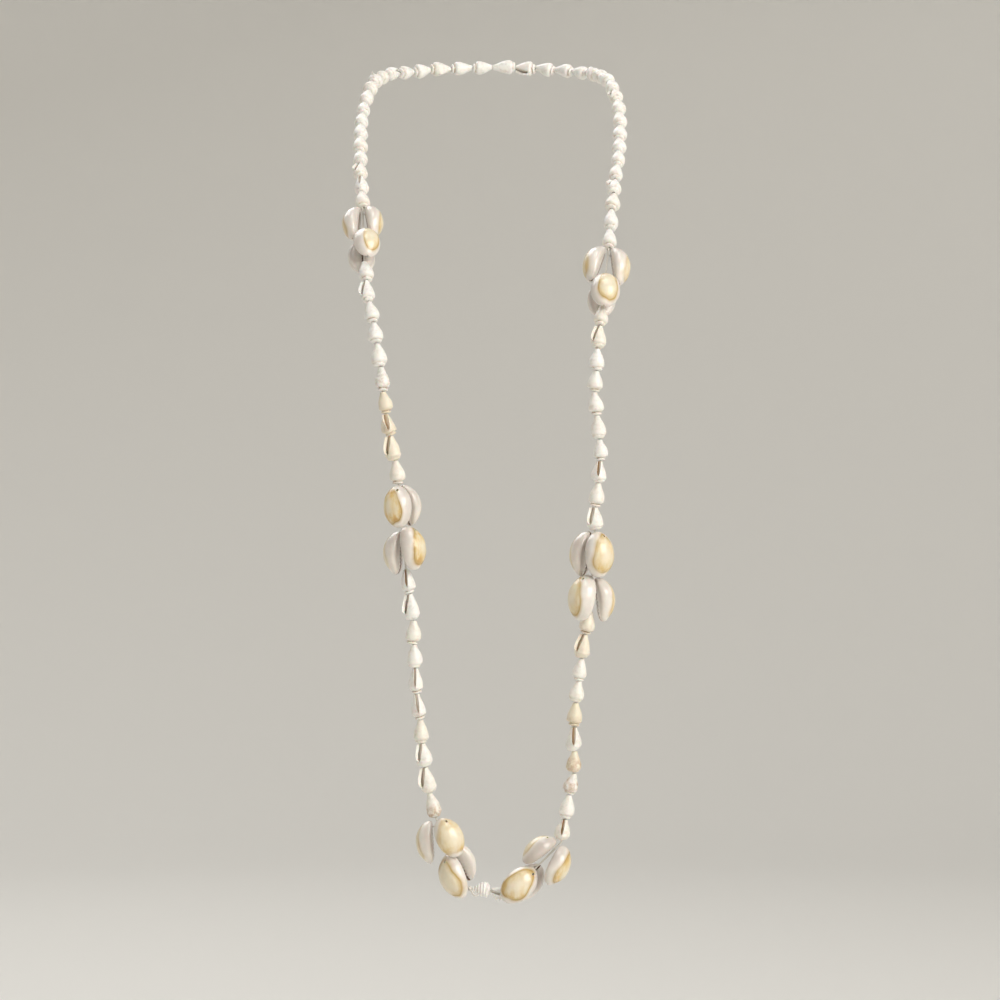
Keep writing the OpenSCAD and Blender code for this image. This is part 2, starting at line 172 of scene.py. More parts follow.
# Six clusters of four ring cowries, a row for each shell: the way its back faces in degrees from
# the front, its lean, its size, how far its tip lies below the cluster's top, how far off the
# thread it stands, how far its ochre ring is turned to one side, the ring's width, and how strong
# the gold, the ring's line and the mauve are.
shellColumns = ("way", "lean", "size", "tip", "off", "ring", "ringWide", "gold", "line", "mauve")
clusters = [
    dict(top=9, low=10, length=39.2333, shells=[
        (-98, 7, 0.94, 0.6, 0.75, 0.1, 0.8, 0.3, 0.5, 0.5),
        (92, 6, 0.93, 0.6, 0.75, -0.1, 0.8, 0.35, 0.5, 0.4),
        (22, 7, 0.93, 19.8059, 0.75, -0.15, 0.6, 0.4, 1.0, 0.3),
        (200, 7, 0.93, 21.5659, 0.75, 0, 0.8, 0.4, 0.5, 0.8)]),
    dict(top=15, low=16, length=41.2898, shells=[
        (-15, 6, 0.95, 0.6, 1.19852, 0.36, 0.8, 1.0, 0.95, 0.4),
        (132, 7, 0.93, 0.6, 1.10899, 0, 0.8, 0.3, 0.3, 0.7),
        (-105, 6, 0.96, 22.9255, 0.75, 0, 0.8, 0.15, 0.3, 0.8),
        (52, 8, 1, 20.7255, 0.75, -0.14, 0.8, 1.0, 0.8, 0.6)]),
    dict(top=22, low=23, length=37.7626, shells=[
        (-92, 20, 0.96, 0.6, 2.19896, 0, 0.8, 0.3, 0.4, 0.8),
        (22, 6, 0.94, 0.6, 3.37644, -0.08, 1.2, 0.5, 0.15, 0.5),
        (-46, 6, 1.03, 18.5267, 0.75, -0.06, 0.8, 0.3, 0.8, 0.2),
        (150, 8, 0.98, 14.5667, 0.75, 0, 0.8, 0.2, 0.3, 0.3)]),
    dict(top=26, low=25, length=36.8875, shells=[
        (-70, 9, 0.88, 1.26, 1.92185, 0.4, 0.8, 0.3, 0.6, 0.8),
        (58, 21, 0.94, 0.6, 1.32391, -0.08, 0.8, 0.75, 0.8, 0.7),
        (-4, 8, 1, 18.4016, 0.75, 0.04, 0.8, 0.6, 1.0, 0.7),
        (152, 8, 1, 15.5416, 0.75, 0, 0.8, 0.3, 0.4, 0.8)]),
    dict(top=33, low=32, length=39.4029, shells=[
        (-115, 5, 1.03, 0.6, 1.65628, 0, 0.8, 0.3, 0.4, 0.9),
        (28, 8, 1.03, 0.6, 1.36289, -0.06, 0.8, 0.5, 0.85, 0.6),
        (-45, 9, 1.05, 21.8538, 1.19518, 0.24, 0.8, 0.5, 0.9, 0.2),
        (100, 9, 1, 22.9538, 1.14577, 0, 0.8, 0.5, 0.4, 0.5)]),
    dict(top=39, low=38, length=36.7217, shells=[
        (-92, 11, 1, 0.6, 0.75, 0, 0.8, 0.4, 0.5, 0.5),
        (88, 11, 1, 0.6, 0.75, 0, 0.8, 0.4, 0.4, 0.4),
        (6, 8, 1, 19.5558, 0.75, -0.06, 0.68, 0.3, 0.9, 0.5),
        (184, 7, 0.96, 18.8958, 0.75, 0, 0.8, 0.4, 0.5, 0.8)])]

for cluster in clusters:
    top, low = route[cluster["top"]], route[cluster["low"]]
    middle, upward = (top + low) / 2, (top - low).normalized()
    cluster["topEnd"] = middle + upward * cluster["length"] / 2
    cluster["lowEnd"] = middle - upward * cluster["length"] / 2
    cluster["shells"] = [dict(zip(shellColumns, row)) for row in cluster["shells"]]


def linkFrame(low, top):
    # z up the link, -y to the front
    upward = (top - low).normalized()
    front = Vector((0, -1, 0))
    back = -(front - front.dot(upward) * upward).normalized()
    right = back.cross(upward)
    return Matrix(((right.x, back.x, upward.x, low.x), (right.y, back.y, upward.y, low.y),
                   (right.z, back.z, upward.z, low.z), (0, 0, 0, 1)))


knotLow = clusters[2]["lowEnd"]
knotPoint = knotLow + (route[bottom] - knotLow).normalized() * (fit["knotWidth"] + fit["beadGap"])
ends = {"left nape": (route[0], route[-1]), "right nape": (route[0], route[1]),
        "knot": (knotPoint, knotLow)}
for number, cluster in enumerate(clusters, 1):
    ends[f"{number} top"] = (cluster["topEnd"], cluster["lowEnd"])
    ends[f"{number} low"] = (cluster["lowEnd"], cluster["topEnd"])

# Stretches of small shells from their lower ends up: route points between, size, and for each
# shell the side its mouth shows on: a front, l left, r right, b behind.
stretches = [
    dict(name="small_shells_left_nape", low="1 top", up="left nape", between=range(8, 0, -1),
         size=1, mouths="balbbbbbbblbabbrbbl", node="small_shells_left"),
    dict(name="small_shells_left_chest", low="2 top", up="1 low", between=range(14, 10, -1),
         size=1, mouths="blabbbbblb", node="small_shells_left"),
    dict(name="small_shells_left_drop", low="3 top", up="2 low", between=range(21, 16, -1),
         size=1.06, mouths="bllbaabbla", node="small_shells_left"),
    dict(name="small_shells_bottom", low="4 low", up="knot", between=[bottom],
         size=0.72, mouths="ab", node="small_shells_left"),
    dict(name="small_shells_right_drop", low="4 top", up="5 low", between=range(27, 32),
         size=0.93, mouths="abbbabbblb", node="small_shells_right"),
    dict(name="small_shells_right_chest", low="5 top", up="6 low", between=range(34, 38),
         size=0.93, mouths="lbabbbbblb", node="small_shells_right"),
    dict(name="small_shells_right_nape", low="6 top", up="right nape", between=range(40, 49),
         size=1, mouths="bbblbbbbbblbbarbbbl", node="small_shells_right")]


def weight(i):
    # how large the next shell is beside the others
    return 1 + fit["sizeSwing"] * sin(radians(fit["swingTurn"] * i + fit["swingStart"]))


def smoothPoints(points):
    # a smooth curve through the points, in short steps
    last = len(points) - 1
    out = []
    for i in range(last):
        a, b, c, d = (points[max(i - 1, 0)], points[i], points[i + 1], points[min(i + 2, last)])
        for s in range(fit["curveSteps"]):
            t = s / fit["curveSteps"]
            out.append(0.5 * (2 * b + (c - a) * t + (2 * a - 5 * b + 4 * c - d) * t * t
                              + (3 * b - a - 3 * c + d) * t ** 3))
    return out + [points[last]]


def pointsAlong(points, distances):
    # the points that lie at these distances along a path
    run = [0]
    for a, b in zip(points, points[1:]):
        run.append(run[-1] + (b - a).length)
    out, i = [], 0
    for distance in distances:
        while i < len(run) - 2 and run[i + 1] < distance:
            i += 1
        out.append(points[i].lerp(points[i + 1], (distance - run[i]) / (run[i + 1] - run[i])))
    return out


for stretch in stretches:
    low, beyondLow = ends[stretch["low"]]
    up, beyondUp = ends[stretch["up"]]
    curve = smoothPoints([low] + [route[i] for i in stretch["between"]] + [up])
    total = sum((b - a).length for a, b in zip(curve, curve[1:]))
    count = max(1, round(total / (stretch["size"] * fit["smallLength"] + fit["beadGap"])))
    shares = [0]
    for i in range(count):
        shares.append(shares[-1] + weight(i))
    stretch["points"] = pointsAlong(curve, [total * s / shares[-1] for s in shares])
    stretch["beyond"] = (beyondLow, beyondUp)
print("thread's way worked out")


# materials

def addNode(tree, kind, inputs=None, stops=None, **settings):
    # one node with its settings; an input is a number, a colour or another node's output
    node = tree.nodes.new("ShaderNode" + kind)
    for name, value in settings.items():
        setattr(node, name, value)
    for name, value in (inputs or {}).items():
        if isinstance(value, bpy.types.NodeSocket):
            tree.links.new(value, node.inputs[name])
        else:
            node.inputs[name].default_value = value
    if stops:
        ramp = node.color_ramp
        while len(ramp.elements) < len(stops):
            ramp.elements.new(0.5)
        for element, (place, code) in zip(ramp.elements, stops):
            element.position = place
            element.color = fromHex(code)
    return node


def emptyMaterial(name):
    material = bpy.data.materials.new(name)
    material.use_nodes = True
    material.node_tree.nodes.clear()
    return material, material.node_tree


# In the colour mixes below input 0 is the share, 6 the colour under and 7 the colour laid over it;
# the mixed colour is output 2.

# Cowrie enamel: aragonite that the living animal's mantle laid down and kept polished, so it is
# glassy, a little deep, and shows its colours in soft-edged layers with one sharp ochre ring.
enamel = dict(
    goldStops=[(0.0, "#EFE6D0"), (0.7, "#DFC384"), (1.0, "#D0A660")], margin="#EFE9E0",
    # the slit's dark brown is painted shade, laid into the slit and fading out over its lips
    line="#BE9C44", burnt="#AC8834", mauve="#B7A9A1", belly="#EFE9E1", slitShade="#7E5A3E",
    edgeSoft=0.07, lineStops=[(0.0, "#000000"), (0.39, "#000000"), (0.46, "#B0B0B0"),
                              (0.495, "#FFFFFF"), (0.53, "#B4B4B4"), (0.60, "#000000")],
    waverMm=3.2, waver=0.07,
    streakMm=3.2, streakStretch=0.3, streakPale=0.3, streakStrong=1.25,
    middlePale=0.22, rimStrong=1.2,  # gold at the ring's middle and beside its line
    mottleMm=2.6, mottleDark=0.95, mottleLight=1.02,
    roughness=0.31, glossier=0.05, duller=0.09,
    growthMm=1.4, growthStrength=0.12, growthDepthMm=0.05,
    ior=1.6,  # aragonite
    coat=0.5, coatRoughness=0.2, milkiness=0.12, milkDepthMm=1.2)

enamelMarks = ("ringPlace", "belly", "slitShade", "gold", "line", "mauve")  # what each point carries

enamelMaterial, tree = emptyMaterial("polishedCowrieEnamel")
marked = {name: addNode(tree, "Attribute", attribute_name=name).outputs["Fac"]
          for name in enamelMarks}
place = addNode(tree, "TexCoord").outputs["Object"]
waver = addNode(tree, "TexNoise", {
    "Vector": place, "Scale": 1 / (enamel["waverMm"] * mm), "Detail": 3.0, "Roughness": 0.55})
wavered = addNode(tree, "Math", {
    0: waver.outputs["Fac"], 1: enamel["waver"], 2: marked["ringPlace"]}, operation="MULTIPLY_ADD")
ringShare = addNode(tree, "Math", {  # 0 in the middle, 0.5 on the ochre line
    0: wavered.outputs[0], 1: 0.5, 2: -enamel["waver"] / 4}, operation="MULTIPLY_ADD")
inRing = addNode(tree, "MapRange", {
    "Value": ringShare.outputs[0], "From Min": 0.5 + enamel["edgeSoft"],
    "From Max": 0.5 - enamel["edgeSoft"]}, interpolation_type="SMOOTHSTEP")
stretched = addNode(tree, "Mapping", {
    "Vector": place, "Scale": (1, 1, enamel["streakStretch"])})
patches = addNode(tree, "TexNoise", {
    "Vector": stretched.outputs["Vector"], "Scale": 1 / (enamel["streakMm"] * mm),
    "Detail": 3.0, "Roughness": 0.6})
patchShare = addNode(tree, "MapRange", {
    "Value": patches.outputs["Fac"], "From Min": 0.36, "From Max": 0.62,
    "To Min": enamel["streakPale"], "To Max": enamel["streakStrong"]})
nearLine = addNode(tree, "MapRange", {
    "Value": ringShare.outputs[0], "From Min": 0.08, "From Max": 0.48,
    "To Min": enamel["middlePale"], "To Max": enamel["rimStrong"]})
patchGold = addNode(tree, "Math", {
    0: nearLine.outputs["Result"], 1: patchShare.outputs["Result"]}, operation="MULTIPLY")
goldShare = addNode(tree, "Math", {
    0: marked["gold"], 1: patchGold.outputs[0]}, operation="MULTIPLY", use_clamp=True)
inside = addNode(tree, "ValToRGB", {"Fac": goldShare.outputs[0]},
                 stops=enamel["goldStops"])
lineBand = addNode(tree, "ValToRGB", {"Fac": ringShare.outputs[0]},
                   stops=enamel["lineStops"])
lineShare = addNode(tree, "Math", {
    0: lineBand.outputs["Color"], 1: marked["line"]}, operation="MULTIPLY")
lineColour = addNode(tree, "Mix", {
    0: marked["gold"], 6: fromHex(enamel["line"]), 7: fromHex(enamel["burnt"])}, data_type="RGBA")
colour = fromHex(enamel["margin"])
layers = [(inRing.outputs["Result"], inside.outputs["Color"]),
          (lineShare.outputs[0], lineColour.outputs[2])]
# the last layer is the painted shade in the slit
layers += [(marked[name], fromHex(enamel[name])) for name in ("mauve", "belly", "slitShade")]
for share, over in layers:
    layer = addNode(tree, "Mix", {0: share, 6: colour, 7: over}, data_type="RGBA")
    colour = layer.outputs[2]
mottle = addNode(tree, "TexNoise", {
    "Vector": place, "Scale": 1 / (enamel["mottleMm"] * mm), "Detail": 4.0, "Roughness": 0.6})
mottleShade = addNode(tree, "MapRange", {
    "Value": mottle.outputs["Fac"], "From Min": 0.3, "From Max": 0.7,
    "To Min": enamel["mottleDark"], "To Max": enamel["mottleLight"]})
mottled = addNode(tree, "Mix", {0: 1.0, 6: colour, 7: mottleShade.outputs["Result"]},
                  data_type="RGBA", blend_type="MULTIPLY")
gloss = addNode(tree, "MapRange", {
    "Value": mottle.outputs["Fac"], "To Min": enamel["roughness"] - enamel["glossier"],
    "To Max": enamel["roughness"] + enamel["duller"]})
growth = addNode(tree, "TexNoise", {
    "Vector": place, "Scale": 1 / (enamel["growthMm"] * mm), "Detail": 2.0})
bump = addNode(tree, "Bump", {
    "Height": growth.outputs["Fac"], "Strength": enamel["growthStrength"],
    "Distance": enamel["growthDepthMm"] * mm})
shader = addNode(tree, "BsdfPrincipled", {
    "Base Color": mottled.outputs[2], "Roughness": gloss.outputs["Result"],
    "Normal": bump.outputs["Normal"], "IOR": enamel["ior"], "Coat Weight": enamel["coat"],
    "Coat Roughness": enamel["coatRoughness"], "Subsurface Weight": enamel["milkiness"],
    "Subsurface Scale": enamel["milkDepthMm"] * mm})
addNode(tree, "OutputMaterial", {"Surface": shader.outputs["BSDF"]})

# Small shell lime: dead shells bleached by sun and sea, satin and chalky, with faint growth lines, a warmer or
# browner one here and there, and brown left inside the mouth, laid on darker deeper in its hollow as painted
# shade, which also fills the bores. Real growth lines and chalk grit are finer, and are drawn coarse enough here
# to show from close by.
bleached = dict(
    white="#F3F1EC", shade="#D8D3CA", cream="#EADFC8", stain="#AE8A60", mouth="#A9814F",
    lineMm=0.55, lineHeight=0.25, blotchMm=2.2, chalkMm=0.25, reliefStrength=0.35, reliefMm=0.08,
    roughness=0.42, glossier=0.12, duller=0.14, ior=1.55, milkiness=0.15, milkDepthMm=1.0)

limeMarks = ("whorlPlace", "mouth", "cream", "stain")

limeMaterial, tree = emptyMaterial("bleachedShellLime")
marked = {name: addNode(tree, "Attribute", attribute_name=name).outputs["Fac"]
          for name in limeMarks}
place = addNode(tree, "TexCoord").outputs["Object"]
blotch = addNode(tree, "TexNoise", {
    "Vector": place, "Scale": 1 / (bleached["blotchMm"] * mm), "Detail": 4.0, "Roughness": 0.62})
blotchShare = addNode(tree, "MapRange", {
    "Value": blotch.outputs["Fac"], "From Min": 0.48, "From Max": 0.8})
stainBlotch = addNode(tree, "MapRange", {
    "Value": blotch.outputs["Fac"], "From Min": 0.35, "From Max": 0.65})
stainShare = addNode(tree, "Math", {
    0: marked["stain"], 1: stainBlotch.outputs["Result"]}, operation="MULTIPLY")
colour = fromHex(bleached["white"])
# the last layer is the mouth's brown: real brown in the mouth, and painted shade deeper in its hollow and in the
# bores
for share, over in ((blotchShare.outputs["Result"], "shade"), (marked["cream"], "cream"),
                    (stainShare.outputs[0], "stain"), (marked["mouth"], "mouth")):
    layer = addNode(tree, "Mix", {0: share, 6: colour, 7: fromHex(bleached[over])},
                    data_type="RGBA")
    colour = layer.outputs[2]
lineWave = addNode(tree, "Math", {
    0: marked["whorlPlace"], 1: 2 * pi / bleached["lineMm"]}, operation="MULTIPLY")
line = addNode(tree, "Math", {0: lineWave.outputs[0]}, operation="SINE")
chalk = addNode(tree, "TexNoise", {
    "Vector": place, "Scale": 1 / (bleached["chalkMm"] * mm), "Detail": 3.0})
relief = addNode(tree, "Math", {
    0: line.outputs[0], 1: bleached["lineHeight"], 2: chalk.outputs["Fac"]},
    operation="MULTIPLY_ADD")
bump = addNode(tree, "Bump", {
    "Height": relief.outputs[0], "Strength": bleached["reliefStrength"],
    "Distance": bleached["reliefMm"] * mm})
gloss = addNode(tree, "MapRange", {
    "Value": blotch.outputs["Fac"], "To Min": bleached["roughness"] - bleached["glossier"],
    "To Max": bleached["roughness"] + bleached["duller"]})
shader = addNode(tree, "BsdfPrincipled", {
    "Base Color": colour, "Roughness": gloss.outputs["Result"], "Normal": bump.outputs["Normal"],
    "IOR": bleached["ior"], "Subsurface Weight": bleached["milkiness"],
    "Subsurface Scale": bleached["milkDepthMm"] * mm})
addNode(tree, "OutputMaterial", {"Surface": shader.outputs["BSDF"]})

# Cotton yarn: three plies twisted together, matt and slightly fuzzy, greyed by handling. Single
# fibres are too fine to show, and are drawn as coarser tufts that show from close by.
yarn = dict(light="#F3F0E9", dark="#D3CCBF", fibreMm=0.12, fibreStrength=0.5, fibreDepthMm=0.06,
            grimeMm=6, roughness=0.92, sheen=0.3, sheenRoughness=0.5)

yarnMaterial, tree = emptyMaterial("twistedCottonYarn")
place = addNode(tree, "TexCoord").outputs["Object"]
fibre = addNode(tree, "TexNoise", {
    "Vector": place, "Scale": 1 / (yarn["fibreMm"] * mm), "Detail": 3.0, "Roughness": 0.7})
grime = addNode(tree, "TexNoise", {
    "Vector": place, "Scale": 1 / (yarn["grimeMm"] * mm), "Detail": 2.0})
yarnShare = addNode(tree, "Math", {
    0: fibre.outputs["Fac"], 1: grime.outputs["Fac"]}, operation="MULTIPLY")
yarnTone = addNode(tree, "MapRange", {
    "Value": yarnShare.outputs[0], "From Min": 0.12, "From Max": 0.45})
yarnColour = addNode(tree, "Mix", {
    0: yarnTone.outputs["Result"], 6: fromHex(yarn["light"]), 7: fromHex(yarn["dark"])},
    data_type="RGBA")
bump = addNode(tree, "Bump", {
    "Height": fibre.outputs["Fac"], "Strength": yarn["fibreStrength"],
    "Distance": yarn["fibreDepthMm"] * mm})
shader = addNode(tree, "BsdfPrincipled", {
    "Base Color": yarnColour.outputs[2], "Normal": bump.outputs["Normal"],
    "Roughness": yarn["roughness"], "Sheen Weight": yarn["sheen"],
    "Sheen Roughness": yarn["sheenRoughness"]})
addNode(tree, "OutputMaterial", {"Surface": shader.outputs["BSDF"]})
print("materials made")


# ring cowries

cowrie = dict(
    rowsAlong=84, halfRound=30,
    # share of the length, half width, flat face and back as shares of width and height
    rows=[(0.00, 0.055, 0.10, 0.27), (0.03, 0.148, 0.03, 0.42), (0.09, 0.263, 0.00, 0.60),
          (0.19, 0.380, 0.00, 0.80), (0.31, 0.462, 0.00, 0.94), (0.45, 0.498, 0.00, 1.00),
          (0.58, 0.497, 0.00, 0.99), (0.70, 0.46, 0.00, 0.91), (0.81, 0.385, 0.01, 0.76),
          (0.90, 0.285, 0.05, 0.58), (0.97, 0.165, 0.13, 0.44), (1.00, 0.06, 0.22, 0.34)],
    # half a section from the slit's lip round to the top of the back; its widest row is the margin
    round=[(0.30, 0.00), (0.42, 0.01), (0.58, 0.025), (0.74, 0.055), (0.88, 0.11), (0.96, 0.19),
           (1.00, 0.30), (0.985, 0.43), (0.94, 0.54), (0.86, 0.66), (0.74, 0.78), (0.58, 0.88),
           (0.40, 0.95), (0.20, 0.99), (0.00, 1.00)],
    margin=6, endRound=0.035, holeRadius=0.62, sharpTurn=48,
    # the slit from its middle out: shares of its half width and depth, and how strong the painted shade laid
    # into it is
    slit=[(0.0, 1, 1), (0.55, 0.85, 1), (0.8, 0.45, 0.8)],
    slitWidth=1.4, slitDepth=2.2, slitSway=0.05, lipRise=0.25,
    teeth=12, toothHeight=0.3, toothReach=0.5, toothIn=0.22, toothSpan=(0.07, 0.14, 0.88, 0.95),
    unevenness=0.10, unevenPerMm=0.22,
    ringMiddle=0.60, ringUp=0.52, ringDown=0.30, ringWaver=0.09)


def cowrieSection(shell, place):
    # one section from the slit's middle round the right side, the back and the left; side tells
    # the way round: 0 at the back's top, 1 at the margin, 2 at the slit, below 0 on the left
    size = shell["size"]
    nearEnd = min(place, 1 - place)
    cap = 1.0
    if nearEnd < cowrie["endRound"]:
        cap = sqrt(max(0.0, 1 - (1 - nearEnd / cowrie["endRound"]) ** 2))
    half = size * fit["cowrieWidth"] * easedRow(cowrie["rows"], place, 1) * cap
    face = size * fit["cowrieHeight"] * easedRow(cowrie["rows"], place, 2)
    back = size * fit["cowrieHeight"] * easedRow(cowrie["rows"], place, 3)
    centre = (face + back) / 2
    face, back = centre + (face - centre) * cap, centre + (back - centre) * cap
    rise = back - face
    thick = min(1, rise / 3)  # sway and lip fade where the shell is thin
    along = -size * fit["cowrieLength"] * place
    slitHalf = min(cowrie["slitWidth"] / 2, 0.3 * half)
    slitDepth = min(cowrie["slitDepth"] * min(1, 9 * nearEnd), 0.4 * rise)
    sway = cowrie["slitSway"] * half * sin(2 * pi * place) * thick
    first, full, less, last = cowrie["toothSpan"]
    tooth = (blendStep(first, full, place) * (1 - blendStep(less, last, place))
             * (0.5 + 0.5 * cos(2 * pi * cowrie["teeth"] * place)))
    lipEdge = slitHalf - cowrie["toothIn"] * tooth
    right = [(x * lipEdge, face + depth * slitDepth, slitShade, 2.0) for x, depth, slitShade in cowrie["slit"]]
    table = [(i,) + row for i, row in enumerate(cowrie["round"])]
    count = cowrie["halfRound"] - len(right)
    for k in range(count):
        spot = k / (count - 1) * (len(table) - 1)
        x, y = easedRow(table, spot, 1), easedRow(table, spot, 2)
        side = x if spot > cowrie["margin"] else 2 - x
        x *= half
        if spot < 1:
            x = lipEdge * (1 - spot) + x * spot
        ridge = 0
        if spot <= cowrie["margin"]:
            ridge = (tooth * cowrie["toothHeight"]
                     * (1 - blendStep(0.1, cowrie["toothReach"], x / max(half, 1e-6))))
        lip = cowrie["lipRise"] * thick * (1 - blendStep(0, 1.2, spot))
        # painted shade from the slit, fading out over the lip
        slitShade = 0.55 * (1 - blendStep(0, 0.8, spot))
        right.append((x, face + rise * y - ridge + lip, slitShade, side))
    whole = right + [(-x, y, slitShade, -side) for x, y, slitShade, side in reversed(right[1:-1])]
    return [(x + (sway if abs(side) > 1.3 else 0) * blendStep(1.3, 1.8, abs(side)), -y, along,
             slitShade, side) for x, y, slitShade, side in whole]


def cowrieShell(shell, seed):
    # tip at the origin, length down z, back to -y; returns points, faces and marks
    points, marks = [], {mark: [] for mark in enamelMarks}
    count = cowrie["rowsAlong"]
    sway = Vector((seed * 3.1, seed * 1.7, seed * 2.3))
    for row in range(count + 1):
        eased = (1 - cos(pi * row / count)) / 2
        place = (eased + row / count) / 2  # closer rows at both ends
        for x, y, z, slitShade, side in cowrieSection(shell, place):
            bend = noise.noise(Vector((x, y, z)) * cowrie["unevenPerMm"] + sway)
            spread = 1 + bend * cowrie["unevenness"] / 6 * min(1, 4 * place, 4 * (1 - place))
            points.append((x * spread, y * spread, z))
            # the ring: pointed towards the tip, broad and round towards the lower end
            narrowing = 2 * easedRow(cowrie["rows"], place, 1)
            shifted = shell["ring"] * (1 - blendStep(0.9, 1.3, abs(side)))
            across = abs(side * narrowing + shifted) / shell["ringWide"]
            down = place - cowrie["ringMiddle"]
            along = down / cowrie["ringDown"] if down > 0 else -down / cowrie["ringUp"]
            bulge = 2.2 if down > 0 else 1.6
            waver = cowrie["ringWaver"] * noise.noise(Vector((side * 1.5, place * 4, 0)) + sway)
            ring = (across ** bulge + along ** bulge) ** (1 / bulge) + waver
            ring = max(ring, 1.3 * blendStep(1.1, 1.4, abs(side)))
            patch = noise.noise(Vector((side * 1.3, place * 2.5, 5)) + sway)
            edge = blendStep(1.05, 1.5, ring) * (1 - 0.6 * blendStep(1.3, 1.8, abs(side)))
            marks["ringPlace"].append(min(ring, 2.5))
            marks["belly"].append(blendStep(1.1, 1.6, abs(side)))
            marks["slitShade"].append(slitShade)
            marks["gold"].append(min(1, shell["gold"] * (0.75 + 0.5 * blendStep(0.4, 0.9, place))))
            marks["line"].append(min(1, max(0.3, shell["line"] * (1.0 + 0.9 * patch))))
            marks["mauve"].append(0.8 * shell["mauve"] * edge)
    perRing = len(points) // (count + 1)
    faces = closedSides(count + 1, perRing)
    faces.append(tuple(range(perRing - 1, -1, -1)))
    faces.append(tuple(count * perRing + k for k in range(perRing)))
    return points, faces, marks


def shellFrame(cluster, shell):
    # where one shell of a cluster sits
    drop = cluster["length"] - shell["tip"]
    return (linkFrame(cluster["lowEnd"], cluster["topEnd"]) @ Matrix.Translation((0, 0, drop))
            @ Matrix.Rotation(radians(shell["way"]), 4, "Z")
            @ Matrix.Translation((0, -shell["off"], 0))
            @ Matrix.Rotation(radians(-shell["lean"]), 4, "X"))


tieSide = (fit["threadWidth"] + fit["tieWidth"]) / 2 + fit["tieGap"]

# a drill for the ties' holes, used on every shell and then thrown away
drillMesh = bpy.data.meshes.new("drill")
drillForm = bmesh.new()
bmesh.ops.create_cone(drillForm, cap_ends=True, segments=28, radius1=cowrie["holeRadius"] * mm,
                      radius2=cowrie["holeRadius"] * mm, depth=30 * mm)
drillForm.to_mesh(drillMesh)
drillForm.free()
drill = newObject("drill", drillMesh)

for number, cluster in enumerate(clusters, 1):
    for letter, shell in zip("abcd", cluster["shells"]):
        node = f"cowrie_{number}{letter}"
        points, faces, marks = cowrieShell(shell, number * 4 + "abcd".index(letter))
        seat = shellFrame(cluster, shell)
        points = [seat @ Vector(p) for p in points]
        whole = makeMesh(f"whole_{node}", points, faces, marks)
        piece = newObject(f"ring_{node}", whole)
        drillSeat = (seat @ Matrix.Translation((tieSide, 0, -fit["tieInset"]))
                     @ Matrix.Rotation(radians(90), 4, "X"))
        drillSeat.translation *= mm
        drill.matrix_world = drillSeat
        cut = piece.modifiers.new("hole", "BOOLEAN")
        cut.operation, cut.object, cut.solver = "DIFFERENCE", drill, "EXACT"
        bpy.context.view_layer.update()
        drilled = bpy.data.meshes.new_from_object(
            piece.evaluated_get(bpy.context.evaluated_depsgraph_get()))
        piece.modifiers.clear()
        piece.data = drilled
        drilled.name = f"ring_{node}"
        drilled.set_sharp_from_angle(angle=radians(cowrie["sharpTurn"]))
        bpy.data.meshes.remove(whole)
        placePiece(piece, enamelMaterial, "ring_cowrie", node)
bpy.data.objects.remove(drill)
print("ring cowries made")


# small shells

small = dict(
    rowsUp=46, outer=36, sharpTurn=60,
    # share of the length, and half width of a round-bottomed shell and of one with a foot
    rows=[(-0.03, 0.15, 0.13), (0.00, 0.215, 0.20), (0.025, 0.285, 0.285), (0.06, 0.355, 0.325),
          (0.09, 0.395, 0.30), (0.12, 0.425, 0.245), (0.145, 0.442, 0.315), (0.18, 0.463, 0.402),
          (0.24, 0.488, 0.464), (0.32, 0.50, 0.497), (0.42, 0.49, 0.494), (0.52, 0.452, 0.456),
          (0.62, 0.402, 0.404), (0.75, 0.32, 0.32), (0.88, 0.238, 0.238), (1.00, 0.175, 0.175),
          (1.03, 0.165, 0.165)],
    # the whorls climb by spiral in a turn and come down again past backTurn, behind the lip
    spiral=0.06, backTurn=0.85, whorlEnd=(0.28, 0.55), grow=0.16,
    openFrom=(0.20, 0.36), slitTurn=18, wideSlit=1.5, slitSwing=(0.8, 1.2),
    lipFlare=0.055, wideFlare=3.1, flareSwing=(0.7, 1.4), lipFrom=(0.20, 0.32), lipWide=0.05,
    columella=0.03, columellaWide=0.04, neckFlare=0.025, ribPitch=0.17,
    # the mouth's hollow: degrees from its middle towards the lip, and share of the radius
    hollow=[(-12, 0.86), (-5, 0.72), (10, 0.60), (26, 0.58), (42, 0.60), (50, 0.68), (44, 0.78),
            (32, 0.85), (20, 0.90), (12, 0.965)],
    # mouthShade: how deep into the hollow the mouth's brown grows to full, as painted shade
    wideHollow=0.35, mouthShade=(0.62, 0.80), mouthTurn=dict(a=-6, l=-43, r=55, b=175),
    # how one shell differs from the next
    bulge=0.02, shoulder=(0.01, 0.085), footShift=0.035, footEnd=(0.08, 0.26), dents=0.06, tilt=6,
    turnSwing=8, feet=(0.4, 0.8, 1.0, 1.0), creams=(0, 0, 0.1, 0.2, 0.35),
    # brown in the foot's seam, how far a stain reaches, and the bore at both ends
    seamBrown=0.75, seamPlace=0.12, seamWide=0.028, stainReach=0.55,
    # the bore's inside is painted shade, in the mouth's brown
    boreRadius=0.7, boreDepth=0.08, boreShade=0.8)


